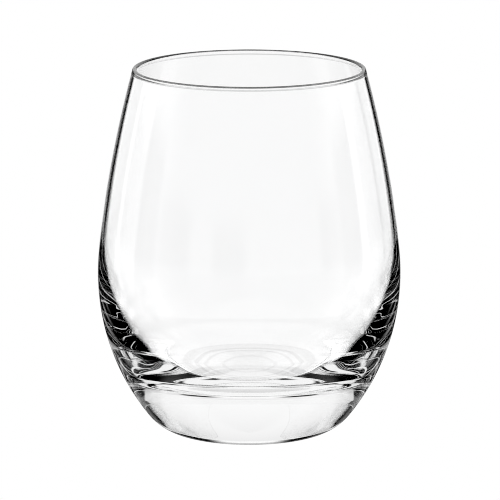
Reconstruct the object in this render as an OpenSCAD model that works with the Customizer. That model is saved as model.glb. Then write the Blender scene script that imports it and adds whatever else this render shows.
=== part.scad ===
// Stemless wine glass: one piece of clear glass with a thick base and a thin upper wall.
// Sizes are in millimetres. The origin is the middle of the standing plane, and +Z points up.
// The whole glass is one section turned round the Z axis; every curve of it is an arc of a circle.

/* [Outside] */
// Height from the table to the top of the rim
height = 109.4; // [100:0.1:120]
// Widest outside diameter
belly_d = 90; // [84:0.1:98]
// Height of the widest place above the table
belly_z = 47.9; // [44:0.1:52]
// Outside diameter of the rim
rim_d = 69.15; // [64:0.05:72]
// Radius of the outside curve from the heel up past the belly
bowl_r = 67.9; // [62:0.1:74]
// Radius of the long outside curve from the bowl to the rim
wall_r = 344; // [250:1:600]
// Radius of the rounded heel, where the side turns under the base
heel_r = 15; // [12:0.1:18]

/* [Wall and rim] */
// Thickness of the upper wall
wall_t = 1.05; // [0.8:0.05:1.3]
// Diameter of the rounded bead at the rim
rim_t = 1.44; // [1.34:0.02:2]
// How far above the top of the bowl curve the wall begins to thicken on its way down
thicken_up = 3.4; // [1:0.1:8]

/* [Inside of the base] */
// Height of the inside floor above the table, at its middle
floor_z = 18.05; // [14:0.05:22]
// Radius of the slightly dished inside floor
floor_r = 425; // [200:5:900]
// Radius of the rounded corner between the floor and the side
corner_r = 13.5; // [9:0.1:16]
// Radius of the inside curve from the thin wall down to the corner
side_r = 48; // [44:0.1:52]

/* [Underside] */
// Diameter of the shallow hollow under the base, inside the ring it stands on
punt_d = 33; // [24:0.1:35]
// Depth of that hollow
punt_h = 0.4; // [0.2:0.05:1.5]

/* [Hidden] */
// The curves stay true circles; this number only sets how fine a preview is
$fn = 180;
// Each arc runs this far into the next one, so that the two cross cleanly where they meet
lap = 0.003;
// Spare length for shapes that must run past what they cut
past = 5;
bead_r = rim_t / 2;

// Where circles about a and b cross, on the right-hand side when looking from a to b
function dist(a, b) = norm(b - a);
function along(a, b, ra, rb) = (ra * ra - rb * rb + dist(a, b) ^ 2) / (2 * dist(a, b));
function right_of(a, b) = [b.y - a.y, a.x - b.x] / dist(a, b);
function crossing(a, b, ra, rb) =
  a + (b - a) / dist(a, b) * along(a, b, ra, rb)
  + right_of(a, b) * sqrt(ra * ra - along(a, b, ra, rb) ^ 2);
// Distance between the centres of two arcs when the small one runs into the large one
function nested(large, small) = large - small + lap;
// Point of a small circle about c that meets the large circle about p
function meeting(p, c, r) = c + (c - p) / dist(p, c) * r;

// Outside: centres of the arcs and the bead, and the points at which they meet
bowl_c = [belly_d / 2 - bowl_r, belly_z];
heel_c = [bowl_c.x + sqrt(nested(bowl_r, heel_r) ^ 2 - (belly_z - heel_r + lap) ^ 2), heel_r - lap];
bead_c = [rim_d / 2 - bead_r, height - bead_r];
wall_c = crossing(bead_c, bowl_c, nested(wall_r, bead_r), nested(wall_r, bowl_r));
heel_top = meeting(bowl_c, heel_c, heel_r);
bowl_top = meeting(wall_c, bowl_c, bowl_r);
wall_top = meeting(wall_c, bead_c, bead_r);

// Inside: the thin wall shares the centre of the outside wall, then hands over to the side arc
wall_in_r = wall_r - wall_t;
thicken_z = bowl_top.y + thicken_up;
thicken_turn = asin((thicken_z - wall_c.y) / wall_in_r);
side_c = wall_c + nested(wall_in_r, side_r) * [cos(thicken_turn), sin(thicken_turn)];
floor_c = [0, floor_z + floor_r];
corner_c = crossing(side_c, floor_c, nested(side_r, corner_r), nested(floor_r, corner_r));
corner_top = meeting(side_c, corner_c, corner_r);
floor_end = meeting(floor_c, corner_c, corner_r);

// Underside: the hollow is part of a large ball
punt_r = ((punt_d / 2) ^ 2 + punt_h ^ 2) / (2 * punt_h);

// Which piece to draw, or "all"

module disc(c, r) {
  translate(c) circle(r);
}

// Box between two heights, from the axis out to x
module band(low, high, x = belly_d / 2 + past) {
  translate([0, low]) square([x, high - low]);
}

// Half section of the glass as if it were solid
module outside_section() {
  intersection() {
    union() {
      band(-past, belly_z, heel_c.x);
      disc(heel_c, heel_r);
      intersection() {
        disc(bowl_c, bowl_r);
        band(heel_top.y, wall_top.y);
      }
      intersection() {
        disc(wall_c, wall_r);
        band(bowl_top.y, wall_top.y);
      }
    }
    band(0, height);
  }
}

// Half section of the space for the drink, open at the top
module drink_section() {
  intersection() {
    disc(floor_c, floor_r);
    band(0, thicken_z, floor_end.x);
  }
  disc(corner_c, corner_r);
  intersection() {
    disc(side_c, side_r);
    band(corner_top.y, height + past);
  }
  intersection() {
    disc(wall_c, wall_in_r);
    band(thicken_z, height + past);
  }
}

// The bowl, its thick base and its rim: one piece of blown glass
module glass_body() {
  color([0.88, 0.93, 0.94, 0.4])
    rotate_extrude() {
      difference() {
        outside_section();
        drink_section();
        disc([0, punt_h - punt_r], punt_r);
      }
      disc(bead_c, bead_r);
    }
}

glass_body();
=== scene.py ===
import math
from collections import namedtuple

import bpy
import numpy as np
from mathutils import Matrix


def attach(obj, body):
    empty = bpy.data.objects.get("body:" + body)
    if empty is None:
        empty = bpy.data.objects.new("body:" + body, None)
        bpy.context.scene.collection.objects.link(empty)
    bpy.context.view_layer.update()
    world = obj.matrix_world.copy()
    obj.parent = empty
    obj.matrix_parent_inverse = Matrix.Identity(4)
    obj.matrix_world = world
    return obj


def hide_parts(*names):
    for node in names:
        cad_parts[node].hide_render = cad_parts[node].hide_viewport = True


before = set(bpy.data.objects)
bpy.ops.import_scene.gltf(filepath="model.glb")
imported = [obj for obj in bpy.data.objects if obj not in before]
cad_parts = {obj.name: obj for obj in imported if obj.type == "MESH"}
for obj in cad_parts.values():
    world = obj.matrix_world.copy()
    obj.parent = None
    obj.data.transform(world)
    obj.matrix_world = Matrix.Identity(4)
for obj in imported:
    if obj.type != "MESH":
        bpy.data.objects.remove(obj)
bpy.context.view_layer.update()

MM_PER_M = 1000
TO_DEGREES = 180 / math.pi

# Section of the glass, in millimetres, as in the CAD model
HEIGHT, BELLY_R, BELLY_Z, RIM_R = 109.4, 45.0, 47.9, 34.575
BOWL_R, WALL_R, HEEL_R, BEAD_R = 67.9, 344.0, 15.0, 0.72
WALL_T, THICKEN_UP = 1.05, 3.4
FLOOR_Z, FLOOR_R, CORNER_R, SIDE_R = 18.05, 425.0, 13.5, 48.0
PUNT_R, PUNT_H = 16.5, 0.4

# Finish of the section that the CAD model leaves out
BEAD_BLEND = 1.6                 # radius that eases the bead into the inside of the wall
EASE = 2.5                       # how far a change of curvature is spread along the inside
EASE_REACH, EASE_STEP = 3, 0.1   # half width of the spreading curve, in lengths of EASE, and its step
EASE_TOP, EASE_FADE = 75.0, 6    # height below which it is spread, and the depth over which that sets in

# Fineness of the mesh: pieces round the axis, points across the hollow, and steps along the section
SEGMENTS, PUNT_POINTS, LEAST_POINTS = 288, 14, 8
HEEL_STEP, BOWL_STEP, WALL_STEP, BEAD_STEP, FLOOR_STEP = 1.0, 1.5, 2.5, 0.1, 0.6
RIPPLED_STEP = 0.35

# Ripples of the blown inside, which the photograph shows as streaks in the thick wall and rings on the floor
RIPPLES = 5
RIPPLE_LENGTH, RIPPLE_GROWTH = 5.0, 1.3    # length of the finest ripple, and how much longer each next one is
RIPPLE_SWAY, SWAY_TURN = 0.15, 1.9         # sway of a ripple on its way round, and the turn to the next one's
RIPPLE_START = 1.7                         # sets where along the section each ripple starts
WALL_SLOPE, FLOOR_SLOPE = 0.004, 0.008
WALL_FROM, WALL_UNTIL = (18.5, 22.5), (42.0, 58.0)    # heights over which the wall's set in and fade out
CALM_R = 3                                 # radius over which the floor's set in, from its middle

# Clear glass: tint, finish, and painted shade: a dark strip along the rim, three rings on the underside
GLASS_IOR = 1.52
FAINT_TINT, NO_TINT = (0.99, 0.992, 0.994, 1), (1, 1, 1, 1)
TINT_NOISE, ROUGH_NOISE, PEEL_NOISE = (30, 2), (60, 3), (90, 1)    # scale and detail
ROUGHEST = 0.002
PEEL_STRENGTH, PEEL_DEPTH = 0.008, 0.0002
# Painted shade: near-black for the strip on the rim, grey for the underside and its rings
BEAD_PAINTED_DARK, UNDERSIDE_PAINTED_GREY = (0.03, 0.03, 0.03, 1), (0.6, 0.6, 0.6, 1)
STRIP_LOW, STRIP_HIGH = (18, 30), (98, 106)    # edges of the strip of painted shade, as angles round the bead's middle
STRIP_REACH = (1.2, 1.4)                       # where it ends, in squares of the bead's radius
UNDERSIDE_PAINTED_LEVEL = 0.45                               # strength of the painted shade between the rings
UNDERSIDE_PAINTED_RINGS = ((17.6, 1.3, 0.9), (14.4, 1.0, 0.5), (8.6, 1.2, 0.4))    # radius, half width and strength
FOOT_TOP = (0.6, 0.8)                          # heights between which the painted shade ends

# Camera, from the photograph: the rim's ellipse gives the height, the outline the distance
LOOK = math.radians(50)             # heading of the view, from +Y towards +X
CAM_BACK, CAM_UP = 1.600, 0.37395   # metres from the axis and above the table
CAM_PITCH = 0.197                   # radians down
FOCAL_PX, IMAGE_PX = 5496.8, 500
AXIS_PX = 249.2                     # column of the glass's axis in the photograph
SENSOR = 36.0
CLIP_NEAR, CLIP_FAR = 0.01, 100

# White floor under the glass, in metres
STAGE_HALF, STAGE_DROP = 3.0, 0.0005

# Render settings
BOUNCES, PIXEL_FILTER = 32, 1.0

# The studio that shows in the glass: soft-edged bright panels and dark cards. All but the flanks are alike
# on both sides of the main view. An edge is a pair of angles over which a panel begins or ends; without an
# edge the panel runs on.
Panel = namedtuple("Panel", "strength left right bottom top", defaults=(None, None, None, None))
# Slanted stripes: radians of a wave for each degree sideways and up, and the part of the wave that is bright
Stripes = namedtuple("Stripes", "sideways upward bright")
# Degrees from the main view with and without a sign, and degrees up
Direction = namedtuple("Direction", "around side up")

# Straight through both walls: a window that is wider higher up, with brighter and dimmer places
WINDOW_LIGHT = 1.05
WINDOW_HALF, WINDOW_WIDER, WIDER_FROM, WINDOW_EDGE = 12.7, 4.3, (-15, -10.5), (-1, 1)
WINDOW_PARTS = (
    Panel(0.09, left=(4, 9), bottom=(-40, -34)),
    Panel(-0.1, (4.8, 5.6), (20, 24), (-13, -11)),
    Panel(1.0, (6, 11), (14, 18), (-35, -28), (-21, -14)),
    Panel(0.13, (2, 5), (14, 18), (-37, -26), (-16, -13)),
    Panel(0.03, None, (3, 7), (-34, -28), (-19, -16)),
    Panel(0.04, top=(-44, -36)),
)
OTHER_WINDOWS = Panel(1, (32, 34), (160, 162))    # behind the glass as seen from other sides
OPEN_BELOW = Panel(1, top=(-31, -26))
WINDOW_LOW = Panel(1, bottom=(-68, -61))

# Straight through the base, or through the bead at the rim
BACKDROP_LIGHT = 1.0
BACKDROP_FALL, FALL_FROM, FALL_EDGE = 0.0055, 22, (10, 22)    # loss for each degree above a height
BACKDROP_PARTS = (
    Panel(-0.05, left=(30, 50)),
    Panel(-0.3, bottom=(2, 5), top=(11, 14)),
)
BACKDROP = Panel(1, bottom=(-50, -42), top=(54, 58))

# After one reflection: a pale room with brighter panels, and cards that hide part of it
ROOM_LIGHT = 0.85
ROOM_PARTS = (
    Panel(0.3, (30, 33), (35, 38), (-13, -11), (0, 8)),
    Panel(0.5, (54, 56), (84, 96), (-13, -9), (4, 14)),
    Panel(0.15, None, (40, 46), (6, 10), (20, 30)),
)
NEAR_CARD = Panel(1, (7, 15), None, (-40, -24), (3, 8))
NEAR_CARD_SLANT = (25, 29)                        # its right edge, in degrees sideways and up together
FAR_CARD = Panel(0.97, None, (60, 68), (9.5, 12.8), (24, 34))
FAR_LEFT, FAR_WIDER, FAR_FROM, FAR_EDGE = 49.5, 3, (12.9, 15), (-1, 0.8)    # its left edge, wider above
SIDE_CARD = Panel(0.95, (80, 84), (100, 106), (-20, -14), (6, 12))

# After one reflection off the outside of the glass
STREAKED = Panel(1, (16, 20), (60, 66), (-16, -14), (-9, -7))
STREAKS = Stripes(0.27, 3.51, (0.9, 0.99))
STREAK_LIGHT = 0.9
OUTSIDE_CARDS = (
    Panel(0.75, left=(88, 125)),
    Panel(1, None, (100, 120), (-46, -41), (-14, -12)),
    STREAKED,
)
EDGE_GLOW = Panel(0.32, None, (26, 36), (-33, -24), (-24, -21))
LINED_GLOW = Panel(0.6, None, (30, 44), (-24, -21), (-15, -13))
GLOW_LINES = Stripes(0.75, 2.5, (0.0, 0.9))

# After one reflection inside the glass
INSIDE_CARDS = (
    Panel(0.75, left=(88, 125), top=(-12, -6)),
    Panel(0.85, (5, 9), (24, 28), (-40, -34), (-26, -20)),
)
INSIDE_GLOW = Panel(0.2, None, (8, 14), (-14, -11), (4, 8))
# Dark cards that edge the wall of the glass in views from other sides, as angles from the main view
FLANKS = ((-177, -151), (-132, -103), (-87, -58), (48, 74), (96, 122))
FLANK_SOFT = 3
FLANK_HEIGHTS = Panel(1, bottom=(-40, -24), top=(3, 8))

# After one reflection and many passes through the glass
HAZE_LIGHT = 0.85
HAZE_PARTS = (
    Panel(-0.5, left=(88, 125), top=(45, 55)),
    Panel(-0.8, (46, 52), (72, 80), (4, 8), (21, 24)),
    Panel(0.3, (50, 56), (78, 86), (23, 27), (35, 42)),
)

# After several reflections inside the thick wall: dark behind the camera, with a few thin lights
FRONT_HALF = Panel(1, right=(86, 96))
REAR_PANEL = Panel(1, None, (102, 110), (-2, 2), (10, 14))
INNER_CARDS = (
    Panel(1, (12, 17), (28, 32), (-16, -10), (0, 8)),
    Panel(1, (38, 44), (60, 66), (-6, 0), (18, 28)),
)
THIN_LIGHTS = (
    Panel(0.9, (132, 140), None, (7.5, 8), (9, 9.5)),
    Panel(0.9, (130, 134), None, (15.6, 15.8), (16.4, 16.6)),
    Panel(0.9, (108, 114), (126, 132), (-21, -19), (-17, -15)),
    Panel(0.8, (114, 120), (146, 154), (27, 28), (29, 30)),
    Panel(0.9, (100, 104), None, (-2, -1), (-0.5, 0.5)),
)
COMB = Panel(1, (98, 102), (128, 134), (-40, -36), (8, 14))
COMB_TEETH = Stripes(0.72, 0.252, (0.72, 0.97))
CEILING = Panel(0.95, bottom=(54, 62))
LOST_LIGHT = Panel(1, top=(42, 50))
REGAINED_LIGHT, TRAPPED_LOSS = 1.9, 0.8

# Counts of reflections and of passes through the glass above which light belongs to the next kind
BASE_PASSES, LONG_PASSES, REGAINED_PASSES = 2, 3, 5
LOST_REFLECTIONS, TRAPPED_REFLECTIONS = 3, 15


def unit(a):
    """Direction at an angle."""
    return np.array([math.cos(a), math.sin(a)])


def turn(a, b):
    """Angle of the direction from a to b."""
    return math.atan2(b[1] - a[1], b[0] - a[0])


def crossing(a, b, ra, rb):
    """Where circles about a and b cross, on the right when looking from a to b."""
    d = np.hypot(*(b - a))
    e = (b - a) / d
    x = (ra * ra - rb * rb + d * d) / (2 * d)
    return a + e * x + np.array([e[1], -e[0]]) * math.sqrt(ra * ra - x * x)


def arc(c, r, a0, a1, step):
    """Points on an arc, no more than about a step apart."""
    n = max(LEAST_POINTS, int(abs(a1 - a0) * r / step) + 1)
    t = np.linspace(a0, a1, n)
    return np.c_[c[0] + r * np.cos(t), c[1] + r * np.sin(t)]


def fade(x, low, high):
    """0 at low, 1 at high, smooth between and level beyond."""
    t = np.clip((x - low) / (high - low), 0, 1)
    return t * t * (3 - 2 * t)


# Outside: centres of the arcs and of the bead, and the angles at which they meet
BOWL_C = np.array([BELLY_R - BOWL_R, BELLY_Z])
HEEL_C = np.array([BOWL_C[0] + math.sqrt((BOWL_R - HEEL_R) ** 2 - (BELLY_Z - HEEL_R) ** 2), HEEL_R])
BEAD_C = np.array([RIM_R - BEAD_R, HEIGHT - BEAD_R])
WALL_C = crossing(BEAD_C, BOWL_C, WALL_R - BEAD_R, WALL_R - BOWL_R)
HEEL_END = turn(BOWL_C, HEEL_C)
BOWL_END = turn(WALL_C, BOWL_C)
WALL_END = turn(WALL_C, BEAD_C)

# Inside: the thin wall shares the centre of the outside wall, then hands over to side, corner and floor
WALL_IN_R = WALL_R - WALL_T
THICKEN_Z = BOWL_C[1] + BOWL_R * math.sin(BOWL_END) + THICKEN_UP
SIDE_START = math.asin((THICKEN_Z - WALL_C[1]) / WALL_IN_R)
SIDE_C = WALL_C + (WALL_IN_R - SIDE_R) * unit(SIDE_START)
FLOOR_C = np.array([0, FLOOR_Z + FLOOR_R])
CORNER_C = crossing(SIDE_C, FLOOR_C, SIDE_R - CORNER_R, FLOOR_R - CORNER_R)
CORNER_START = turn(SIDE_C, CORNER_C)
FLOOR_START = turn(FLOOR_C, CORNER_C)

# The blend is a circle inside the drink space that touches the bead and the inside of the wall
BLEND_C = crossing(WALL_C, BEAD_C, WALL_IN_R - BEAD_BLEND, BEAD_R + BEAD_BLEND)
BLEND_START = turn(BEAD_C, BLEND_C)
BLEND_END = turn(WALL_C, BLEND_C)


def outside_points():
    """From the middle of the underside, whose hollow runs softly into the standing ring, up to the bead."""
    punt_x = np.linspace(0, PUNT_R, PUNT_POINTS)
    return np.concatenate([
        np.c_[punt_x, PUNT_H * (1 - (punt_x / PUNT_R) ** 2) ** 2],
        [[(PUNT_R + HEEL_C[0]) / 2, 0]],
        arc(HEEL_C, HEEL_R, -math.pi / 2, HEEL_END, HEEL_STEP),
        arc(BOWL_C, BOWL_R, HEEL_END, BOWL_END, BOWL_STEP)[1:],
        arc(WALL_C, WALL_R, BOWL_END, WALL_END, WALL_STEP)[1:],
    ])


def inside_points():
    """From the bead, over the rim and down the inside to the middle of the floor."""
    return np.concatenate([
        arc(BEAD_C, BEAD_R, WALL_END, BLEND_START % (2 * math.pi), BEAD_STEP)[1:],
        arc(BLEND_C, BEAD_BLEND, BLEND_START + math.pi, BLEND_END, BEAD_STEP)[1:],
        arc(WALL_C, WALL_IN_R, BLEND_END, SIDE_START, WALL_STEP)[1:],
        arc(SIDE_C, SIDE_R, SIDE_START, CORNER_START, RIPPLED_STEP)[1:],
        arc(CORNER_C, CORNER_R, CORNER_START, FLOOR_START, RIPPLED_STEP)[1:],
        arc(FLOOR_C, FLOOR_R, FLOOR_START, -math.pi / 2, FLOOR_STEP)[1:],
    ])


def eased(line):
    """The inside with sudden changes of its curvature spread out, as in blown glass; the rim stays put."""
    mirrored = np.concatenate([line, (line * [-1, 1])[-2::-1]])
    along = np.r_[0, np.cumsum(np.hypot(*np.diff(mirrored, axis=0).T))]
    even = np.linspace(0, along[-1], int(along[-1] / EASE_STEP))
    reach = int(EASE_REACH * EASE / EASE_STEP)
    bell = np.exp(-0.5 * (np.arange(-reach, reach + 1) * EASE_STEP / EASE) ** 2)
    soft = [np.convolve(np.interp(even, along, c), bell / bell.sum(), "same") for c in mirrored.T]
    share = fade(line[:, 1], EASE_TOP, EASE_TOP - EASE_FADE)[:, None]
    moved = np.stack([np.interp(along[:len(line)], even, c) for c in soft], 1)
    return line * (1 - share) + moved * share


def ripples(angle, along):
    """Ripples of unit slope that run round the glass, by angle and by distance along the section."""
    total = 0
    for k in range(RIPPLES):
        length = RIPPLE_LENGTH * RIPPLE_GROWTH ** k
        shift = RIPPLE_SWAY * np.sin(angle + SWAY_TURN * k) + RIPPLE_START * k * k
        total = total + length / (2 * math.pi) * np.sin(2 * math.pi * along / length + shift)
    return total


def glass_points():
    """Points in millimetres: the middle of the underside, ring after ring, the middle of the floor."""
    outside = outside_points()
    points = np.concatenate([outside, eased(inside_points())])
    step = np.gradient(points, axis=0)[1:-1]
    normal = np.c_[step[:, 1], -step[:, 0]] / np.hypot(*step.T)[:, None]
    along = np.cumsum(np.hypot(*np.diff(points, axis=0).T))[:-1]
    angle = np.arange(SEGMENTS) * 2 * math.pi / SEGMENTS
    r, z = points[1:-1, :1], points[1:-1, 1:]
    wall = fade(z, *WALL_FROM)
    amount = WALL_SLOPE * (wall * (1 - fade(z, *WALL_UNTIL))) + FLOOR_SLOPE * (1 - wall) * fade(r, 0, CALM_R)
    amount[:len(outside) - 1] = 0
    push = amount * ripples(angle[None], along[:, None])
    r = r + push * normal[:, :1]
    z = z + push * normal[:, 1:]
    rings = np.stack([r * np.cos(angle), r * np.sin(angle), z], -1).reshape(-1, 3)
    return np.concatenate([[[0, 0, points[0, 1]]], rings, [[0, 0, points[-1, 1]]]])


def ring_faces(rings):
    """Faces over so many rings of points; the first and last points of all are the middles of the ends."""
    here = np.arange(SEGMENTS)
    after = (here + 1) % SEGMENTS
    low = 1 + np.arange(rings - 1)[:, None] * SEGMENTS
    high = low + SEGMENTS
    between = np.stack([low + here, low + after, high + after, high + here], -1).reshape(-1, 4)
    final = 1 + (rings - 1) * SEGMENTS
    pairs = list(zip(here.tolist(), after.tolist()))
    underside = [(0, 1 + b, 1 + a) for a, b in pairs]
    inside = [(final + a, final + b, final + SEGMENTS) for a, b in pairs]
    return between.tolist() + underside + inside


def glass_mesh():
    """The whole glass as one closed mesh."""
    points = glass_points()
    mesh = bpy.data.meshes.new("glass_body_visual")
    mesh.from_pydata((points / MM_PER_M).tolist(), [], ring_faces(len(points) // SEGMENTS))
    mesh.polygons.foreach_set("use_smooth", [True] * len(mesh.polygons))
    mesh.update()
    return mesh


def link(obj):
    """Put an object in the scene."""
    bpy.context.scene.collection.objects.link(obj)
    return obj


class Num:
    """A number in a node tree; sums and products of it make Math nodes."""
    tree = None

    def __init__(self, socket):
        self.socket = socket

    @classmethod
    def math(cls, kind, *values):
        node = cls.tree.nodes.new("ShaderNodeMath")
        node.operation = kind
        for slot, value in zip(node.inputs, values):
            if isinstance(value, Num):
                cls.tree.links.new(value.socket, slot)
            else:
                slot.default_value = value
        return cls(node.outputs[0])

    def __add__(self, other):
        return Num.math("ADD", self, other)

    def __sub__(self, other):
        return Num.math("SUBTRACT", self, other)

    def __rsub__(self, other):
        return Num.math("SUBTRACT", other, self)

    def __mul__(self, other):
        return Num.math("MULTIPLY", self, other)

    __radd__, __rmul__ = __add__, __mul__

    def size(self):
        return Num.math("ABSOLUTE", self)

    def wave(self):
        return Num.math("SINE", self)

    def above(self, low, high):
        """0 below low, 1 above high, smooth between."""
        node = Num.tree.nodes.new("ShaderNodeMapRange")
        node.interpolation_type = "SMOOTHSTEP"
        Num.tree.links.new(self.socket, node.inputs["Value"])
        node.inputs["From Min"].default_value = low
        node.inputs["From Max"].default_value = high
        return Num(node.outputs["Result"])

    def below(self, low, high):
        """1 below low, 0 above high, smooth between."""
        return 1 - self.above(low, high)

    def more_than(self, count):
        """1 where a whole number is more than a count, 0 elsewhere."""
        return Num.math("GREATER_THAN", self, count)


def brighter(a, b):
    """The larger of two numbers."""
    return Num.math("MAXIMUM", a, b)


def mixed(a, b, share):
    """The first where the share is 0, the second where it is 1."""
    return a * (1 - share) + b * share


def split(vector):
    """The three numbers of a vector socket."""
    node = Num.tree.nodes.new("ShaderNodeSeparateXYZ")
    Num.tree.links.new(vector, node.inputs[0])
    return [Num(socket) for socket in node.outputs]


def radius_and_height(where):
    """Distance from the axis and height of a place on the glass, in millimetres."""
    x, y, z = (number * MM_PER_M for number in split(where))
    return Num.math("SQRT", x * x + y * y), z


def bead_painted_shade(where):
    """1 on the strip of painted shade along the bead's outer top, where light runs down into the wall and is
    lost.
    """
    radius, height = radius_and_height(where)
    out = radius - (RIM_R - BEAD_R)
    up = height - (HEIGHT - BEAD_R)
    turned = Num.math("ARCTAN2", up, out) * TO_DEGREES
    near = (out * out + up * up).below(*(BEAD_R ** 2 * share for share in STRIP_REACH))
    return near * turned.above(*STRIP_LOW) * turned.below(*STRIP_HIGH)


def underside_painted_shade(where):
    """Strength of painted shade on the underside, all over and in three fine rings that show through the
    floor.
    """
    radius, height = radius_and_height(where)
    total = UNDERSIDE_PAINTED_LEVEL
    for ring_radius, half, strength in UNDERSIDE_PAINTED_RINGS:
        total = total + (radius - ring_radius).size().below(0, half) * strength
    return total * height.below(*FOOT_TOP)


def noise(where, scale, detail):
    """Cloudy noise between 0 and 1."""
    node = Num.tree.nodes.new("ShaderNodeTexNoise")
    node.inputs["Scale"].default_value = scale
    node.inputs["Detail"].default_value = detail
    Num.tree.links.new(where, node.inputs["Vector"])
    return Num(node.outputs["Fac"])


def covered(colour, shade, share):
    """A colour, either plain or from a socket, that gives way to a shade by a share."""
    node = Num.tree.nodes.new("ShaderNodeMix")
    node.data_type = "RGBA"
    if isinstance(colour, bpy.types.NodeSocket):
        Num.tree.links.new(colour, node.inputs["A"])
    else:
        node.inputs["A"].default_value = colour
    node.inputs["B"].default_value = shade
    Num.tree.links.new(share.socket, node.inputs["Factor"])
    return node.outputs["Result"]


def clear_glass():
    """Colourless glass: a faint uneven tint, a polished surface and the slight orange peel of fire polish."""
    mat = bpy.data.materials.new("clear_glass")
    mat.use_nodes = True
    nodes, links = mat.node_tree.nodes, mat.node_tree.links
    Num.tree = mat.node_tree
    glass = nodes["Principled BSDF"]
    glass.inputs["Transmission Weight"].default_value = 1
    glass.inputs["IOR"].default_value = GLASS_IOR
    where = nodes.new("ShaderNodeTexCoord").outputs["Object"]
    colour = covered(FAINT_TINT, NO_TINT, noise(where, *TINT_NOISE))
    # Painted shade: the outer top of the bead is darkened nearly to black
    colour = covered(colour, BEAD_PAINTED_DARK, bead_painted_shade(where))
    # Painted shade: the underside is greyed all over and more in three rings, darkening the floor seen
    # through it
    colour = covered(colour, UNDERSIDE_PAINTED_GREY, underside_painted_shade(where))
    links.new(colour, glass.inputs["Base Color"])
    roughness = noise(where, *ROUGH_NOISE) * ROUGHEST
    links.new(roughness.socket, glass.inputs["Roughness"])
    bump = nodes.new("ShaderNodeBump")
    bump.inputs["Strength"].default_value = PEEL_STRENGTH
    bump.inputs["Distance"].default_value = PEEL_DEPTH
    links.new(noise(where, *PEEL_NOISE).socket, bump.inputs["Height"])
    links.new(bump.outputs["Normal"], glass.inputs["Normal"])
    return mat


def shine(toward, panel):
    """Strength of a panel in a direction: full inside its soft edges, 0 outside them."""
    light = panel.strength
    if panel.left:
        light = light * toward.side.above(*panel.left)
    if panel.right:
        light = light * toward.side.below(*panel.right)
    if panel.bottom:
        light = light * toward.up.above(*panel.bottom)
    if panel.top:
        light = light * toward.up.below(*panel.top)
    return light


def lit(toward, level, panels):
    """A level of light with panels added to it; one of negative strength takes light away."""
    return sum((shine(toward, panel) for panel in panels), level)


def shaded(toward, light, cards):
    """Light with dark cards in front of it."""
    for card in cards:
        light = light * (1 - shine(toward, card))
    return light


def striped(toward, stripes):
    """1 on slanted bright stripes, 0 between them."""
    phase = toward.side * stripes.sideways + toward.up * stripes.upward
    return phase.wave().above(*stripes.bright)


def through_walls(toward):
    """Brightness straight through both walls: the window, and others for views from other sides."""
    edge = WINDOW_HALF + WINDOW_WIDER * toward.up.above(*WIDER_FROM)
    window = (toward.side - edge).below(*WINDOW_EDGE)
    opening = brighter(brighter(window, shine(toward, OTHER_WINDOWS)), shine(toward, OPEN_BELOW))
    return lit(toward, WINDOW_LIGHT, WINDOW_PARTS) * opening * shine(toward, WINDOW_LOW)


def through_base(toward):
    """Brightness straight through the base, or through the bead, which also sees dark above and below."""
    fall = BACKDROP_FALL * (toward.up - FALL_FROM) * toward.up.above(*FALL_EDGE)
    return (lit(toward, BACKDROP_LIGHT, BACKDROP_PARTS) - fall) * shine(toward, BACKDROP)


def room(toward):
    """Brightness of the pale room with its panels, behind its cards."""
    near_card = shine(toward, NEAR_CARD) * (toward.side + toward.up).below(*NEAR_CARD_SLANT)
    left = FAR_LEFT - FAR_WIDER * toward.up.above(*FAR_FROM)
    far_card = shine(toward, FAR_CARD) * (toward.side - left).above(*FAR_EDGE)
    light = lit(toward, ROOM_LIGHT, ROOM_PARTS) * (1 - near_card) * (1 - far_card)
    return shaded(toward, light, [SIDE_CARD])


def off_outside(toward, room_light):
    """Brightness after one reflection off the outside: the room, low streaks, and a glow at the edge."""
    streaks = STREAK_LIGHT * shine(toward, STREAKED) * striped(toward, STREAKS)
    glow = shine(toward, EDGE_GLOW) + shine(toward, LINED_GLOW) * striped(toward, GLOW_LINES)
    return shaded(toward, room_light, OUTSIDE_CARDS) + streaks + glow


def off_inside(toward, room_light):
    """Brightness after one reflection inside: the room behind more cards, with a glow in the middle."""
    flanks = 0
    for left, right in FLANKS:
        begins = toward.around.above(left - FLANK_SOFT, left + FLANK_SOFT)
        flanks = flanks + begins * toward.around.below(right - FLANK_SOFT, right + FLANK_SOFT)
    flanks = flanks * shine(toward, FLANK_HEIGHTS)
    return shaded(toward, room_light, INSIDE_CARDS) * (1 - flanks) + shine(toward, INSIDE_GLOW)


def reflected_once(toward, through):
    """Brightness after one reflection and so many passes through the glass."""
    room_light = room(toward)
    light = mixed(off_outside(toward, room_light), off_inside(toward, room_light), through.more_than(0))
    return mixed(light, lit(toward, HAZE_LIGHT, HAZE_PARTS), through.more_than(LONG_PASSES))


def reflected_often(toward, gloss, through):
    """Brightness after several reflections inside the thick wall, with light lost or regained on the way."""
    light = brighter(shine(toward, FRONT_HALF), shine(toward, REAR_PANEL))
    light = shaded(toward, light, INNER_CARDS)
    comb = shine(toward, COMB) * striped(toward, COMB_TEETH)
    for other in (lit(toward, 0, THIN_LIGHTS), comb, shine(toward, CEILING)):
        light = brighter(light, other)
    many = gloss.more_than(LOST_REFLECTIONS)
    lost = through.more_than(LONG_PASSES) * many * shine(toward, LOST_LIGHT)
    regained = REGAINED_LIGHT * through.more_than(REGAINED_PASSES) * (1 - many)
    light = brighter(light * (1 - lost), regained)
    return light * (1 - TRAPPED_LOSS * gloss.more_than(TRAPPED_REFLECTIONS))


def surroundings(toward, gloss, through):
    """Brightness of the studio in a direction, after so many reflections and passes through the glass."""
    light = mixed(through_base(toward), through_walls(toward), through.more_than(BASE_PASSES))
    light = mixed(light, reflected_once(toward, through), gloss.more_than(0))
    return mixed(light, reflected_often(toward, gloss, through), gloss.more_than(1))


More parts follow.
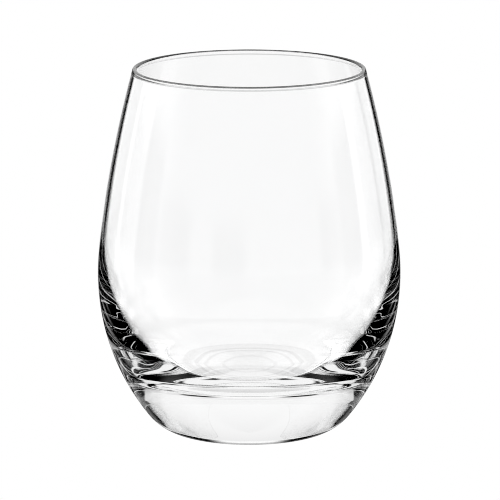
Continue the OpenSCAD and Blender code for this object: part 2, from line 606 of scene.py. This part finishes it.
def direction():
    """Direction in which a ray leaves for the studio."""
    x, y, z = split(Num.tree.nodes.new("ShaderNodeTexCoord").outputs["Generated"])
    across = x * math.cos(LOOK) - y * math.sin(LOOK)
    ahead = x * math.sin(LOOK) + y * math.cos(LOOK)
    around = Num.math("ARCTAN2", across, ahead) * TO_DEGREES
    return Direction(around, around.size(), Num.math("ARCSINE", z) * TO_DEGREES)


def studio():
    """World that shows the studio in the glass and plain white behind it."""
    world = bpy.data.worlds.new("studio")
    bpy.context.scene.world = world
    world.use_nodes = True
    world.cycles.sampling_method = "NONE"
    tree = world.node_tree
    tree.nodes.clear()
    Num.tree = tree
    path = tree.nodes.new("ShaderNodeLightPath")
    gloss, through = Num(path.outputs["Glossy Depth"]), Num(path.outputs["Transmission Depth"])
    light = surroundings(direction(), gloss, through)
    light = mixed(light, 1.0, Num(path.outputs["Is Camera Ray"]))
    back = tree.nodes.new("ShaderNodeBackground")
    back.inputs["Color"].default_value = (1, 1, 1, 1)
    tree.links.new(light.socket, back.inputs["Strength"])
    out = tree.nodes.new("ShaderNodeOutputWorld")
    tree.links.new(back.outputs["Background"], out.inputs["Surface"])


def floor():
    """Pale floor, as overexposed as the photograph's, so that no edge or shadow of it shows."""
    w = STAGE_HALF
    mesh = bpy.data.meshes.new("floor")
    mesh.from_pydata([(-w, -w, 0), (w, -w, 0), (w, w, 0), (-w, w, 0)], [], [(0, 1, 2, 3)])
    obj = link(bpy.data.objects.new("floor", mesh))
    mat = bpy.data.materials.new("white_floor")
    mat.use_nodes = True
    nodes, links = mat.node_tree.nodes, mat.node_tree.links
    nodes.clear()
    glow = nodes.new("ShaderNodeEmission")
    out = nodes.new("ShaderNodeOutputMaterial")
    links.new(glow.outputs["Emission"], out.inputs["Surface"])
    mesh.materials.append(mat)
    for ray in ("visible_diffuse", "visible_glossy", "visible_transmission", "visible_shadow"):
        setattr(obj, ray, False)
    obj.location.z = -STAGE_DROP


def camera():
    """The photograph's view of the glass."""
    data = bpy.data.cameras.new("camera")
    obj = link(bpy.data.objects.new("camera", data))
    obj.location = (-CAM_BACK * math.sin(LOOK), -CAM_BACK * math.cos(LOOK), CAM_UP)
    obj.rotation_euler = (math.pi / 2 - CAM_PITCH, 0, -LOOK)
    data.sensor_width = SENSOR
    data.lens = FOCAL_PX / IMAGE_PX * SENSOR
    data.shift_x = (IMAGE_PX / 2 - AXIS_PX) / IMAGE_PX
    data.clip_start, data.clip_end = CLIP_NEAR, CLIP_FAR
    bpy.context.scene.camera = obj


body = link(bpy.data.objects.new("glass_body_visual", glass_mesh()))
body.data.materials.append(clear_glass())
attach(body, "root")
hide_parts("glass_body")
studio()
floor()
camera()

scene = bpy.context.scene
scene.view_settings.view_transform = "Standard"
scene.cycles.filter_width = PIXEL_FILTER
scene.cycles.max_bounces = scene.cycles.transmission_bounces = scene.cycles.glossy_bounces = BOUNCES
